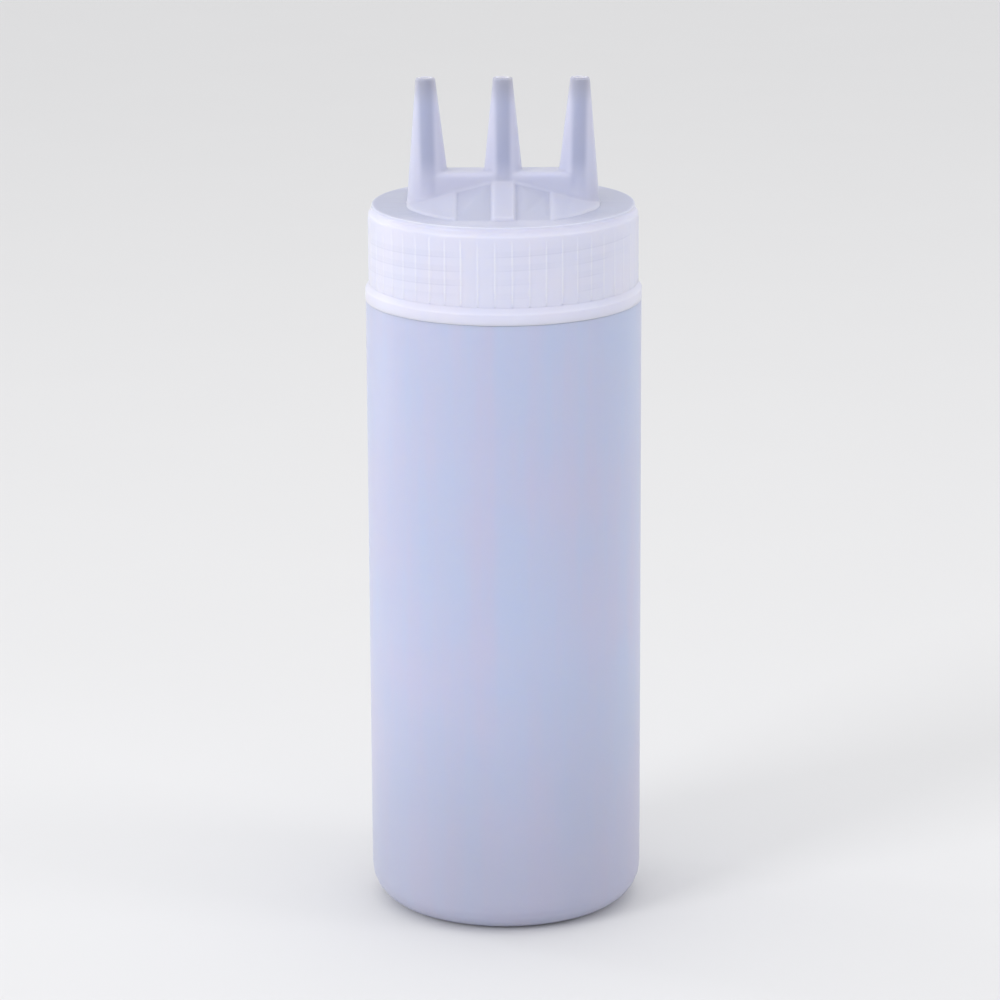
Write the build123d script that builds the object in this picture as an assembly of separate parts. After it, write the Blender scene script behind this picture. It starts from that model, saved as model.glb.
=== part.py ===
"""Squeeze bottle for sauce: a soft plastic body, a screw cap with three nozzles in a row, a sealing ring.

Millimetres, +Z up. The origin is the centre of the base on the surface that the bottle stands on.
The nozzles stand in a row along X. The cap unscrews anticlockwise, seen from above.
"""
from math import atan2, degrees, radians, tan
import os

from build123d import *

# Bottle body
body_radius = 30.0
body_wall = 1.0
base_wall = 1.4
base_corner_radius = 7.5
push_up_radius = 19.0
push_up_height = 2.2
shoulder_z = 136.9
shoulder_wall = 1.4
shoulder_corner_radius = 1.2

# Bottle neck
shoulder_width = 3.7
neck_wall = 1.9
neck_height = 18.1
neck_root_radius = 0.6
neck_lip_radius = 0.4

# Screw thread, two starts, right-handed: ridges on the neck and in the cap
thread_lead = 6.0
thread_starts = 2
thread_height = 1.0
thread_root_width = 1.4
thread_crest_width = 0.7
thread_sink = 0.25
thread_phase = -90.0
neck_thread_rise = 6.4
neck_thread_turns = 1.5
cap_thread_turns = 1.0
thread_play = 0.45
flank_play = 0.3

# Cap skirt
cap_seat_gap = 0.3
skirt_wall = 1.55
bead_height = 3.0
bead_depth = 0.82
bead_corner_radius = 0.8
bead_top_radius = 0.6
skirt_top_drop = 2.9
step_height = 1.7
disc_step = 0.72
disc_corner_radius = 0.45
disc_wall = 1.6
rib_count = 50
rib_width = 0.5
rib_height = 0.2
rib_end_gap = 0.6

# Sealing ring, loose in the top of the cap behind a retaining bead
ring_thickness = 1.0
ring_width = 3.1
ring_gap = 0.1
ring_side_play = 0.2
ring_edge = 0.15
retainer_height = 0.6
retainer_depth = 0.5
retainer_drop = 0.3

# Hood under the nozzles: twelve-sided at its foot, with a ridge along the nozzles' row
hood_half_length = 20.7
hood_half_depth = 20.9
hood_end_half_depth = 7.5
hood_corner_half_length = 15.4
hood_corner_half_depth = 16.8
hood_flat_half = 10.3
hood_wall_height = 0.4
hood_rise = 5.45
hood_ridge_half_length = 3.4
hood_ridge_half_depth = 3.6
hood_ridge_fall = 0.287
hood_wall = 1.3
hood_rib_width = 4.7
hood_rib_height = 0.3

# Bar that carries the nozzles
bar_rise = 7.2
bar_wall = 1.8
bar_edge_radius = 1.0
bar_step = 0.15
bar_end_back = 1.0

# Nozzles
nozzle_pitch = 16.07
nozzle_lean = 1.24
nozzle_height = 27.4
nozzle_base_radius = 4.85
nozzle_tip_radius = 2.12
nozzle_tip_edge = 0.3
outlet_radius = 1.1
bore_base_radius = 1.9
bore_overlap = 0.5

# Worked out from the values above
neck_radius = body_radius - shoulder_width
neck_top_z = shoulder_z + neck_height
mouth_radius = neck_radius - neck_wall
neck_crest_radius = neck_radius + thread_height
bore_radius = neck_crest_radius + thread_play
skirt_radius = bore_radius + skirt_wall
bead_radius = skirt_radius + bead_depth
disc_radius = skirt_radius - disc_step
cap_bottom_z = shoulder_z + cap_seat_gap
ring_z = neck_top_z + ring_gap
disc_under_z = ring_z + ring_thickness + ring_gap
disc_top_z = disc_under_z + disc_wall
skirt_top_z = disc_top_z - skirt_top_drop
ring_outer_radius = bore_radius - ring_side_play
neck_thread_z = shoulder_z + neck_thread_rise
cap_thread_z = neck_thread_z - (thread_root_width + thread_crest_width) / 2 - flank_play
hood_top_z = disc_top_z + hood_rise
bar_top_z = disc_top_z + bar_rise
bar_half_width = nozzle_base_radius - bar_step
channel_top_z = bar_top_z - bar_wall
nozzle_draft = degrees(atan2(nozzle_base_radius - nozzle_tip_radius, nozzle_height))
bar_top_half_width = bar_half_width - bar_rise * tan(radians(nozzle_draft))
channel_half_width = bar_top_half_width - bar_wall + bar_wall * tan(radians(nozzle_draft))


def revolved(face):
    """Solid of revolution about Z of a face drawn in the XZ plane."""
    return revolve(face, axis=Axis.Z)


def corner(face, radius, x, z):
    """Round the corner of an XZ face that lies at x, z."""
    nearest = face.vertices().sort_by_distance((x, 0, z))[0]
    return fillet(nearest, radius)


def xz_face(points):
    """Closed face in the XZ plane through (x, z) points."""
    return make_face(Polyline([(x, 0, z) for x, z in points], close=True))


def thread_ridge(root_radius, outward, start_z, turns, turned):
    """One helical ridge on a wall at root_radius, its root sunk a little into the wall."""
    side = 1 if outward else -1
    half_root = thread_root_width / 2
    half_crest = thread_crest_width / 2
    sunk = root_radius - side * thread_sink
    crest = root_radius + side * thread_height
    outline = Polyline(
        (sunk, 0, start_z - half_root),
        (crest, 0, start_z - half_crest),
        (crest, 0, start_z + half_crest),
        (sunk, 0, start_z + half_root),
        close=True,
    )
    path = Helix(pitch=thread_lead, height=thread_lead * turns, radius=root_radius, center=(0, 0, start_z))
    ridge = sweep(make_face(outline), path=path, is_frenet=True)
    return Rot(0, 0, turned) * ridge


def thread(root_radius, outward, start_z, turns):
    """All the starts of a thread, evenly spaced round the wall."""
    step = 360 / thread_starts
    turned = [thread_phase + step * start for start in range(thread_starts)]
    return [thread_ridge(root_radius, outward, start_z, turns, angle) for angle in turned]


def bottle():
    """Blown body with a raised base centre, a square shoulder and a threaded neck, open at the top."""
    arc_mid = push_up_radius / 2
    rise_mid = push_up_height * 0.75
    outer_lines = Line((push_up_radius, 0, 0), (body_radius, 0, 0))
    outer_lines += Line((body_radius, 0, 0), (body_radius, 0, shoulder_z))
    outer_lines += Line((body_radius, 0, shoulder_z), (neck_radius, 0, shoulder_z))
    outer_lines += Line((neck_radius, 0, shoulder_z), (neck_radius, 0, neck_top_z))
    outer_lines += Line((neck_radius, 0, neck_top_z), (0, 0, neck_top_z))
    outer_lines += Line((0, 0, neck_top_z), (0, 0, push_up_height))
    outer_lines += ThreePointArc((0, 0, push_up_height), (arc_mid, 0, rise_mid), (push_up_radius, 0, 0))
    outer = make_face(outer_lines)
    outer = corner(outer, base_corner_radius, body_radius, 0)
    outer = corner(outer, shoulder_corner_radius, body_radius, shoulder_z)
    outer = corner(outer, neck_root_radius, neck_radius, shoulder_z)
    outer = corner(outer, neck_lip_radius, neck_radius, neck_top_z)

    inner_radius = body_radius - body_wall
    under_shoulder_z = shoulder_z - shoulder_wall
    inner_lines = Line((push_up_radius, 0, base_wall), (inner_radius, 0, base_wall))
    inner_lines += Line((inner_radius, 0, base_wall), (inner_radius, 0, under_shoulder_z))
    inner_lines += Line((inner_radius, 0, under_shoulder_z), (mouth_radius, 0, under_shoulder_z))
    inner_lines += Line((mouth_radius, 0, under_shoulder_z), (mouth_radius, 0, neck_top_z))
    inner_lines += Line((mouth_radius, 0, neck_top_z), (0, 0, neck_top_z))
    inner_lines += Line((0, 0, neck_top_z), (0, 0, push_up_height + base_wall))
    inner_lines += ThreePointArc(
        (0, 0, push_up_height + base_wall),
        (arc_mid, 0, rise_mid + base_wall),
        (push_up_radius, 0, base_wall),
    )
    inner = make_face(inner_lines)
    inner = corner(inner, base_corner_radius - body_wall, inner_radius, base_wall)
    inner = corner(inner, shoulder_corner_radius, inner_radius, under_shoulder_z)
    inner = corner(inner, shoulder_corner_radius, mouth_radius, under_shoulder_z)

    shell = revolved(outer) - revolved(inner)
    return shell + thread(neck_radius, True, neck_thread_z, neck_thread_turns)


def skirt_and_disc():
    """Turned part of the cap: bead, skirt, rounded step and flat top, hollow for the neck and the ring."""
    outer = xz_face([
        (0, cap_bottom_z),
        (bead_radius, cap_bottom_z),
        (bead_radius, cap_bottom_z + bead_height),
        (skirt_radius, cap_bottom_z + bead_height),
        (skirt_radius, skirt_top_z),
        (disc_radius, skirt_top_z + step_height),
        (disc_radius, disc_top_z),
        (0, disc_top_z),
    ])
    outer = corner(outer, bead_corner_radius, bead_radius, cap_bottom_z)
    outer = corner(outer, bead_top_radius, bead_radius, cap_bottom_z + bead_height)
    outer = corner(outer, step_height / 2, skirt_radius, skirt_top_z)
    outer = corner(outer, disc_corner_radius, disc_radius, disc_top_z)
    retainer_z = ring_z - retainer_drop
    retainer_radius = bore_radius - retainer_depth
    inner = xz_face([
        (0, cap_bottom_z),
        (bore_radius, cap_bottom_z),
        (bore_radius, retainer_z - retainer_height),
        (retainer_radius, retainer_z - retainer_height / 2),
        (bore_radius, retainer_z),
        (bore_radius, disc_under_z),
        (0, disc_under_z),
    ])
    return revolved(outer) - revolved(inner)


def grip_ribs():
    """Fine upright ribs round the skirt, from the bead to the step."""
    low_z = cap_bottom_z + bead_height - bead_corner_radius
    high_z = skirt_top_z - rib_end_gap
    depth = rib_height + thread_sink
    rib = Box(depth, rib_width, high_z - low_z, align=(Align.MAX, Align.CENTER, Align.MIN))
    places = PolarLocations(skirt_radius + rib_height, rib_count)
    return [place * Pos(0, 0, low_z) * rib for place in places]


def hood_section(x, half_depth, foot_z, wall_top_z, ridge_half_depth, ridge_z):
    """Cross-section of the hood at x: an upright wall, a slope up to the ridge, and the same on the far side."""
    front_half = [(half_depth, foot_z), (half_depth, wall_top_z), (ridge_half_depth, ridge_z)]
    back_half = [(-y, z) for y, z in reversed(front_half)]
    return make_face(Polyline([(x, y, z) for y, z in front_half + back_half], close=True))


def hood(inset, foot_z, drop):
    """Low hood, ruled from one cross-section to the next along X. Inset and dropped for its hollow."""
    wall_top_z = disc_top_z + hood_wall_height - drop
    ridge_half_depth = hood_ridge_half_depth - inset / 2
    half_depth = hood_half_depth - inset
    corner_inset = inset * 3 / 4
    stations = [
        (hood_half_length - inset, hood_end_half_depth - inset),
        (hood_corner_half_length - corner_inset, hood_corner_half_depth - corner_inset),
        (hood_flat_half - inset / 2, half_depth),
        (hood_ridge_half_length, half_depth),
    ]
    stations += [(-x, depth) for x, depth in reversed(stations)]
    sections = []
    for x, depth in stations:
        ridge_z = hood_top_z - drop - hood_ridge_fall * (abs(x) - hood_ridge_half_length)
        sections.append(hood_section(x, depth, foot_z, wall_top_z, ridge_half_depth, ridge_z))
    return loft(sections, ruled=True)


def hood_rib(side):
    """Broad low rib down the middle of the hood's front (side -1) or back (side 1)."""
    proud = hood_half_depth + hood_rib_height
    wall_top_z = disc_top_z + hood_wall_height + hood_rib_height
    outline = Polyline(
        (0, 0, disc_top_z - thread_sink),
        (0, side * proud, disc_top_z - thread_sink),
        (0, side * proud, wall_top_z),
        (0, side * hood_ridge_half_depth, hood_top_z + hood_rib_height),
        (0, 0, hood_top_z + hood_rib_height),
        close=True,
    )
    return extrude(make_face(outline), hood_rib_width / 2, dir=(1, 0, 0), both=True)


def bar():
    """Bar along the nozzles' row, drafted like the nozzles, with rounded top edges."""
    outline = SlotCenterToCenter(2 * (nozzle_pitch - bar_end_back), 2 * bar_half_width)
    body = extrude(Pos(0, 0, disc_top_z) * outline, bar_rise, taper=nozzle_draft)
    body = fillet(body.faces().sort_by(Axis.Z)[-1].edges(), bar_edge_radius)
    return body + extrude(Pos(0, 0, disc_under_z) * outline, disc_wall)


def channel():
    """Hollow of the bar, open below to the hood's hollow and above to the nozzles' bores."""
    outline = SlotCenterToCenter(2 * nozzle_pitch, 2 * channel_half_width)
    low_z = disc_under_z - bore_overlap
    return extrude(Pos(0, 0, low_z) * outline, channel_top_z - low_z)


def nozzle_place(side):
    """Axis of a nozzle: -1 left, 0 middle, 1 right. The outer two lean outwards a little."""
    return Pos(side * nozzle_pitch, 0, disc_top_z) * Rot(0, side * nozzle_lean, 0)


def nozzle(side):
    """Tapered nozzle with a blunt, slightly rounded tip."""
    cone = Cone(
        nozzle_base_radius,
        nozzle_tip_radius,
        nozzle_height,
        align=(Align.CENTER, Align.CENTER, Align.MIN),
    )
    tip = cone.faces().sort_by(Axis.Z)[-1].edges()
    return nozzle_place(side) * fillet(tip, nozzle_tip_edge)


def nozzle_bore(side):
    """Tapered bore from the bar's hollow to the nozzle's outlet."""
    foot = channel_top_z - disc_top_z - bore_overlap
    bore = Cone(
        bore_base_radius,
        outlet_radius,
        nozzle_height + bore_overlap - foot,
        align=(Align.CENTER, Align.CENTER, Align.MIN),
    )
    return nozzle_place(side) * Pos(0, 0, foot) * bore


def nozzle_cap():
    """Screw cap in one piece: skirt, top, thread, hood, bar and three nozzles, hollow to the outlets."""
    sides = (-1, 0, 1)
    cap = skirt_and_disc() + grip_ribs()
    cap += thread(bore_radius, False, cap_thread_z, cap_thread_turns)
    cap += hood(0, disc_under_z, 0)
    cap += [hood_rib(side) for side in (-1, 1)]
    cap += bar()
    cap += [nozzle(side) for side in sides]
    cap -= hood(hood_wall, disc_under_z - bore_overlap, hood_wall)
    cap -= channel()
    for side in sides:
        cap -= nozzle_bore(side)
    return cap


def sealing_ring():
    """Flat ring between the neck's rim and the underside of the cap, held loosely in the cap."""
    ring = extrude(Circle(ring_outer_radius) - Circle(ring_outer_radius - ring_width), ring_thickness)
    return Pos(0, 0, ring_z) * chamfer(ring.edges().filter_by(GeomType.CIRCLE), ring_edge)


def main():
    """Write one STEP file for each piece."""
    os.makedirs("parts", exist_ok=True)
    export_step(bottle(), "parts/bottle.step")
    export_step(nozzle_cap(), "parts/nozzle_cap.step")
    export_step(sealing_ring(), "parts/sealing_ring.step")


main()
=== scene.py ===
"""Looks of a three-nozzle squeeze bottle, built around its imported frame: body, screw cap, ring and studio.

Metres, +Z up, with the origin at the centre of the base. The nozzles stand in a row along X and the front
looks along +Y. Run as a script, it models every piece in order and hands the result to the frame.
"""
from math import atan2, cos, pi, radians, sin, tan

import bpy
from mathutils import Matrix, Vector


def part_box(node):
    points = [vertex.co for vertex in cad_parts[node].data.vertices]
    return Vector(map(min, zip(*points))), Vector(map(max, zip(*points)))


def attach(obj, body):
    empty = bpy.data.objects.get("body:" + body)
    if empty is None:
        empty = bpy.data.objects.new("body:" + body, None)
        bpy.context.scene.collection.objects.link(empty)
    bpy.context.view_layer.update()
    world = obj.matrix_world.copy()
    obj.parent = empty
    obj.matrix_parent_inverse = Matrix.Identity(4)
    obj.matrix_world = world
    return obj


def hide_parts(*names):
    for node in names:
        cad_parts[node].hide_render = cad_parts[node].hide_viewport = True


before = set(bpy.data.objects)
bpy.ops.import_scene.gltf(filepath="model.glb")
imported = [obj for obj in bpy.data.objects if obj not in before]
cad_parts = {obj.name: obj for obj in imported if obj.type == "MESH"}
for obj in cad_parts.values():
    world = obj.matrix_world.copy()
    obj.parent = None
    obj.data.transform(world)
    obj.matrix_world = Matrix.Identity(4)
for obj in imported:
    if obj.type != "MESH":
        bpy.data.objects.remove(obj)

bl_info = {
    "name": "Nozzle Squeeze Bottle",
    "version": (1, 0, 0),
    "blender": (4, 5, 0),
    "location": "View3D > Sidebar > Bottle",
    "description": "Models a soft squeeze bottle with a three-nozzle screw cap around its frame",
    "category": "Mesh",
}

MM = 0.001
FULL_TURN = 2 * pi
ENDS = (-1, 1)
NOZZLES = (-1, 0, 1)
CONE_STEPS = 64
SLAB_STEPS = 128
BEVEL_STEPS = 4
SMOOTHING = 0.5
SHARP_ANGLE = radians(35)
MERGE_DISTANCE = 0.002 * MM
BISECT_DISTANCE = MERGE_DISTANCE / 10

# A face counts as upright, level or outermost past these limits of its normal and its distance from the axis.
UPRIGHT_LIMIT = 0.01
LEVEL_LIMIT = 0.9
OUTERMOST_SHARE = 0.99

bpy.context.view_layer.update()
BOTTLE_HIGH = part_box("bottle")[1]
CAP_LOW, CAP_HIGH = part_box("nozzle_cap")
RING_LOW, RING_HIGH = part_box("sealing_ring")


# Sizes and colours that a user would change


def length(name, value, description):
    """Length setting, given here in millimetres."""
    return bpy.props.FloatProperty(
        name=name, description=description, default=value * MM, unit="LENGTH", subtype="DISTANCE", precision=5
    )


def angle(name, value, description):
    """Angle setting, given here in degrees."""
    return bpy.props.FloatProperty(
        name=name, description=description, default=radians(value), unit="ROTATION", subtype="ANGLE"
    )


def share(name, value, description):
    """Setting from 0 to 1."""
    return bpy.props.FloatProperty(
        name=name, description=description, default=value, min=0.0, max=1.0, subtype="FACTOR"
    )


def amount(name, value, description):
    """Plain number without a unit."""
    return bpy.props.FloatProperty(name=name, description=description, default=value, min=0.0)


def count(name, value, description):
    """Whole number."""
    return bpy.props.IntProperty(name=name, description=description, default=value, min=1)


def colour(name, value, description):
    """Linear colour without alpha."""
    return bpy.props.FloatVectorProperty(
        name=name, description=description, default=value, min=0.0, max=1.0, size=3, subtype="COLOR"
    )


class BottleSizes(bpy.types.PropertyGroup):
    """Sizes of the blown body and its neck."""

    radius: length("Radius", BOTTLE_HIGH.x / MM, "Outer radius of the body")
    neck_top: length("Neck top", BOTTLE_HIGH.z / MM, "Height of the neck's rim above the base")
    wall: length("Wall", 1.0, "Thickness of the body's wall")
    base_wall: length("Base wall", 1.4, "Thickness of the base")
    base_corner: length("Base corner", 7.5, "Radius between the wall and the base")
    push_up_radius: length("Push-up radius", 19.0, "Radius of the raised middle of the base")
    push_up_height: length("Push-up height", 2.2, "Rise of the raised middle of the base")
    foot_corner: length("Foot corner", 0.5, "Radius between the raised middle and the foot")
    neck_height: length("Neck height", 18.1, "Height of the neck above the shoulder")
    shoulder_width: length("Shoulder width", 3.7, "Step from the body's wall in to the neck")
    shoulder_wall: length("Shoulder wall", 1.4, "Thickness of the shoulder")
    shoulder_corner: length("Shoulder corner", 0.1, "Radius of the shoulder's edge")
    neck_wall: length("Neck wall", 1.9, "Thickness of the neck")
    neck_root: length("Neck root", 0.6, "Radius between the neck and the shoulder")
    neck_lip: length("Neck lip", 0.4, "Radius of the rim's edges")
    parting_height: length("Parting height", 0.05, "How far the mould's parting line stands proud")
    pinch_length: length("Pinch length", 24.0, "Length of the pinched seam under the base")
    pinch_width: length("Pinch width", 0.7, "Width of the pinched seam under the base")
    pinch_height: length("Pinch height", 0.35, "Height of the pinched seam under the base")
    steps: count("Steps", 400, "Faces round the body")


class ThreadSizes(bpy.types.PropertyGroup):
    """Sizes of the two-start thread on the neck and in the cap."""

    lead: length("Lead", 6.0, "Rise of one start in a full turn")
    starts: count("Starts", 2, "Number of ridges, evenly spaced round the wall")
    height: length("Height", 1.0, "Height of a ridge over its wall")
    root_width: length("Root width", 1.4, "Width of a ridge at its wall")
    crest_width: length("Crest width", 0.7, "Width of a ridge at its crest")
    sink: length("Sink", 0.25, "Depth of a ridge's root in its wall")
    phase: angle("Phase", -90.0, "Direction in which the first ridge starts")
    fade: angle("Fade", 22.0, "Turn over which a ridge rises to its full height")
    neck_rise: length("Neck rise", 6.4, "Height of the neck's ridges' start over the shoulder")
    neck_turns: amount("Neck turns", 1.5, "Turns of each ridge on the neck")
    cap_turns: amount("Cap turns", 1.0, "Turns of each ridge in the cap")
    play: length("Play", 0.45, "Gap between the neck's ridges and the cap's bore")
    flank_play: length("Flank play", 0.3, "Gap between the flanks of the two threads")
    steps_per_turn: count("Steps per turn", 144, "Faces along a ridge in a full turn")


class CapSizes(bpy.types.PropertyGroup):
    """Sizes of the cap's skirt, bead, ribs and flat top."""

    low: length("Lower edge", CAP_LOW.z / MM, "Height of the cap's lower edge above the base")
    bead_radius: length("Bead radius", CAP_HIGH.x / MM, "Outer radius of the bead at the lower edge")
    bead_height: length("Bead height", 3.4, "Height of the bead with its slope up to the skirt")
    bead_flank: length("Bead flank", 1.3, "Height of that slope")
    bead_low_corner: length("Bead lower corner", 0.05, "Radius of the bead's lower edge")
    bead_top_corner: length("Bead upper corner", 0.7, "Radius of the slope's two edges")
    seat_gap: length("Seat gap", 0.05, "Gap between the bead's lip and the bottle's shoulder")
    skirt_wall: length("Skirt wall", 1.55, "Thickness of the skirt")
    rib_count: count("Ribs", 50, "Number of grip ribs")
    rib_height: length("Rib height", 0.11, "How far a rib stands proud of the skirt")
    rib_bevel: length("Rib bevel", 0.17, "Width of a rib's sloping flank")
    rib_end_gap: length("Rib end gap", 0.6, "Bare stretch between the ribs and the step")
    steps_per_rib: count("Steps per rib", 8, "Faces round the skirt from one rib to the next")
    step_drop: length("Step drop", 0.65, "Height of the upright edge under the flat top")
    step_width: length("Step width", 0.72, "Width of the step between the skirt and the flat top")
    step_height: length("Step height", 1.6, "Height over which the step runs out to the skirt")
    top_corner: length("Top corner", 0.3, "Radius of the flat top's edge")
    top_wall: length("Top wall", 1.6, "Thickness of the flat top")
    support: length("Support", 0.3, "Width of the strip that evens the shading at the flat top's edge")
    inner_corner: length("Inner corner", 0.25, "Radius of the small inner corners")
    retainer_height: length("Retainer height", 0.6, "Height of the bead that keeps the sealing ring")
    retainer_depth: length("Retainer depth", 0.5, "How far that bead stands into the bore")
    retainer_drop: length("Retainer drop", 0.3, "Gap between that bead and the sealing ring")


class HoodSizes(bpy.types.PropertyGroup):
    """Sizes of the faceted hood under the nozzles and of the bar on it."""

    half_length: length("Half length", 20.7, "Half the hood's length along the nozzles' row")
    half_depth: length("Half depth", 20.9, "Half the hood's depth, front to back")
    end_half_depth: length("End half depth", 7.5, "Half the width of the hood's two ends")
    corner_half: length("Corner half", 15.4, "Half the distance between two corners of the hood's foot")
    corner_half_depth: length("Corner half depth", 16.8, "Half the hood's depth at those corners")
    corner_rounding: length("Corner rounding", 3.5, "How far those corners are rounded off")
    flat_half: length("Flat half", 10.3, "Half the length of the hood's straight front foot")
    wall_height: length("Wall height", 0.4, "Height of the upright wall over the flat top")
    rise: length("Rise", 5.45, "Height of the hood over the flat top")
    ridge_half_length: length("Ridge half length", 3.4, "Half the length of the ridge's level middle")
    ridge_half_depth: length("Ridge half depth", 3.6, "Half the width of the ridge")
    ridge_fall: amount("Ridge fall", 0.287, "Fall of the ridge towards its ends for each metre along it")
    wall: length("Wall", 1.3, "Thickness of the hood")
    rib_width: length("Rib width", 4.7, "Width of the rib down the middle of the front and the back")
    rib_height: length("Rib height", 0.3, "How far that rib stands proud")
    panel_frame: length("Panel frame", 1.2, "Width of the border between a sunk panel and the ridge")
    panel_depth: length("Panel depth", 0.35, "Depth of the sunk panels beside the rib")
    panel_half_gap: length("Panel half gap", 2.4, "Half the gap between two sunk panels")
    bar_rise: length("Bar rise", 7.2, "Height of the bar over the flat top")
    bar_wall: length("Bar wall", 1.8, "Thickness of the bar's wall")
    bar_edge: length("Bar edge", 1.0, "Radius of the bar's upper edges")
    bar_step: length("Bar step", 0.15, "How much slimmer the bar is than the nozzles' feet")
    bar_end_back: length("Bar end", 1.0, "How far the bar's ends stay behind the outer nozzles' axes")
    sink: length("Sink", 0.8, "How deep each raised shape reaches into the flat top before they merge")
    grain: length("Grain", 0.3, "Size of the mesh over the merged shapes")
    softening: count("Softening", 7, "Rounds of smoothing that give the inner corners their fillets")
    slab_drop: length("Slab drop", 0.12, "Depth under the flat top at which the fillets run out")


class NozzleSizes(bpy.types.PropertyGroup):
    """Sizes of the three nozzles."""

    pitch: length("Pitch", 16.07, "Distance between the nozzles' feet")
    lean: angle("Lean", 1.24, "How far the outer nozzles lean outwards")
    height: length("Height", 27.4, "Height of a nozzle over the flat top")
    base_radius: length("Base radius", 4.85, "Radius of a nozzle at the flat top")
    tip_radius: length("Tip radius", 2.12, "Radius of a nozzle at its tip")
    outlet_radius: length("Outlet radius", 1.1, "Radius of the outlet")
    bore_radius: length("Bore radius", 1.9, "Radius of the bore at the bar's hollow")
    bore_overlap: length("Bore overlap", 0.5, "How far a cut runs past the face that it opens")


class PlasticLook(bpy.types.PropertyGroup):
    """Colours and finish of the plastics."""

    body_colour: colour("Body colour", (0.52, 0.58, 0.775), "Milky colour of the body")
    body_warm: colour("Body warm colour", (0.56, 0.565, 0.745), "Colour of the body's warmer clouds")
    foot_colour: colour("Foot colour", (0.40, 0.39, 0.475), "Colour of the body towards its base")
    cap_colour: colour("Cap colour", (0.735, 0.745, 0.885), "Milky colour of the cap")
    cap_warm: colour("Cap warm colour", (0.75, 0.745, 0.87), "Colour of the cap's warmer clouds")
    # Painted shade: the cap's colour is darkened towards this where its wall is thin or a hollow lies behind
    # it.
    painted_shade_colour: colour("Thin colour", (0.37, 0.40, 0.56), "Colour of the cap's thin see-through walls")
    # Painted highlight: the ribs are lightened towards this colour, as where they catch the light.
    rib_highlight_colour: colour("Rib colour", (0.83, 0.84, 0.92), "Colour of the skirt's ribs")
    # Painted shade: the nozzles' slim tips are greyed towards this colour.
    tip_shade_colour: colour("Tip colour", (0.35, 0.345, 0.39), "Colour of the nozzles' slim tips")
    ring_colour: colour("Ring colour", (0.82, 0.82, 0.84), "Colour of the sealing ring's foam")
    light_depth: length("Light depth", 1.6, "How far light travels in the plastic")
    foot_shade: share("Foot shade", 0.55, "How far the body takes its foot's colour at its base")
    # Painted shade: fine dark lines where the neck's thread lies behind the skirt.
    thread_shade: share("Thread shade", 0.15, "How far the threads show through the skirt")
    # Painted shade: the raised, panel, disc, core and hollow shades below darken the cap towards the thin
    # colour where its wall is thin or a hollow lies behind it.
    raised_shade: share("Raised shade", 0.30, "How far all above the skirt takes the thin colour")
    panel_shade: share("Panel shade", 0.22, "How much further the sunk panels take it")
    disc_shade: share("Disc shade", 0.40, "How much further the flat top takes it near its edge")
    core_shade: share("Core shade", 0.50, "How much further the nozzles take it before their bores")
    # Painted highlight: how far the ribs are lightened.
    rib_highlight: share("Rib light", 0.5, "How far the ribs take their own colour")
    # Painted shade: how far the tips are greyed.
    tip_shade: share("Tip shade", 0.5, "How far the nozzles' tips take their own colour")
    hollow_shade: share("Hollow shade", 0.06, "How much further the hood takes it before the bar's hollow")
    wall_shade: share("Wall shade", 0.04, "How far the skirt takes the thin colour")
    roughness: share("Roughness", 0.34, "Satin of the moulded faces")
    clearness: share("Clearness", 0.12, "Share of the light that passes straight through the wall")


class StudioSettings(bpy.types.PropertyGroup):
    """Floor, lights and camera."""

    floor_colour: colour("Floor colour", (0.76, 0.76, 0.77), "Colour of the plain floor")
    floor_radius: length("Floor radius", 12000.0, "Radius of the floor")
    key_power: amount("Key power", 2.4, "Watts of the large light on the left")
    fill_power: amount("Fill power", 0.9, "Watts of the light on the right")
    rim_power: amount("Rim power", 0.2, "Watts of the narrow light behind on the left")
    strip_power: amount("Strip power", 0.02, "Watts of the slim light close to the bottle on the left")
    top_power: amount("Top power", 0.2, "Watts of the faint light overhead")
    world_strength: amount("World strength", 0.92, "Strength of the even light from all round")
    focal_length: bpy.props.FloatProperty(
        name="Focal length", description="Focal length on a 36 mm sensor", default=156.26, unit="CAMERA"
    )
    camera_back: length("Camera distance", 926.41, "How far the camera stands in front of the axis")
    camera_height: length("Camera height", 334.70, "Height of the camera over the floor")
    camera_pitch: angle("Camera pitch", 14.734, "How far the camera looks down")
    camera_roll: angle("Camera roll", -0.2825, "Tilt of the camera about its own axis")
    camera_turn: angle("Camera turn", 0.0624, "Turn of the camera about the upright")


GROUPS = {
    "bottle_sizes": BottleSizes,
    "thread_sizes": ThreadSizes,
    "cap_sizes": CapSizes,
    "hood_sizes": HoodSizes,
    "nozzle_sizes": NozzleSizes,
    "plastic_look": PlasticLook,
    "studio_settings": StudioSettings,
}


# Modelling helpers


def rounded_outline(corners, arc_steps=6):
    """Points through (radius, z, corner radius) corners of a closed outline, with round corners as arcs."""
    places = [Vector((radius, z)) for radius, z, _ in corners]
    points = []
    for index, (_, _, rounding) in enumerate(corners):
        here = places[index]
        if rounding == 0:
            points.append(here)
            continue
        before = (places[index - 1] - here).normalized()
        after = (places[(index + 1) % len(places)] - here).normalized()
        half = before.angle(after) / 2
        centre = here + (before + after).normalized() * rounding / sin(half)
        start = here + before * rounding / tan(half) - centre
        end = here + after * rounding / tan(half) - centre
        first = atan2(start.y, start.x)
        sweep = (atan2(end.y, end.x) - first + pi) % FULL_TURN - pi
        for step in range(arc_steps + 1):
            bearing = first + sweep * step / arc_steps
            points.append(centre + rounding * Vector((cos(bearing), sin(bearing))))
    return points


def select_only(piece):
    """Makes the piece the active and only selected object."""
    bpy.ops.object.select_all(action="DESELECT")
    bpy.context.view_layer.objects.active = piece
    piece.select_set(True)


def edit(piece):
    """Opens the piece, alone selected, for editing."""
    select_only(piece)
    bpy.ops.object.mode_set(mode="EDIT")


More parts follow.
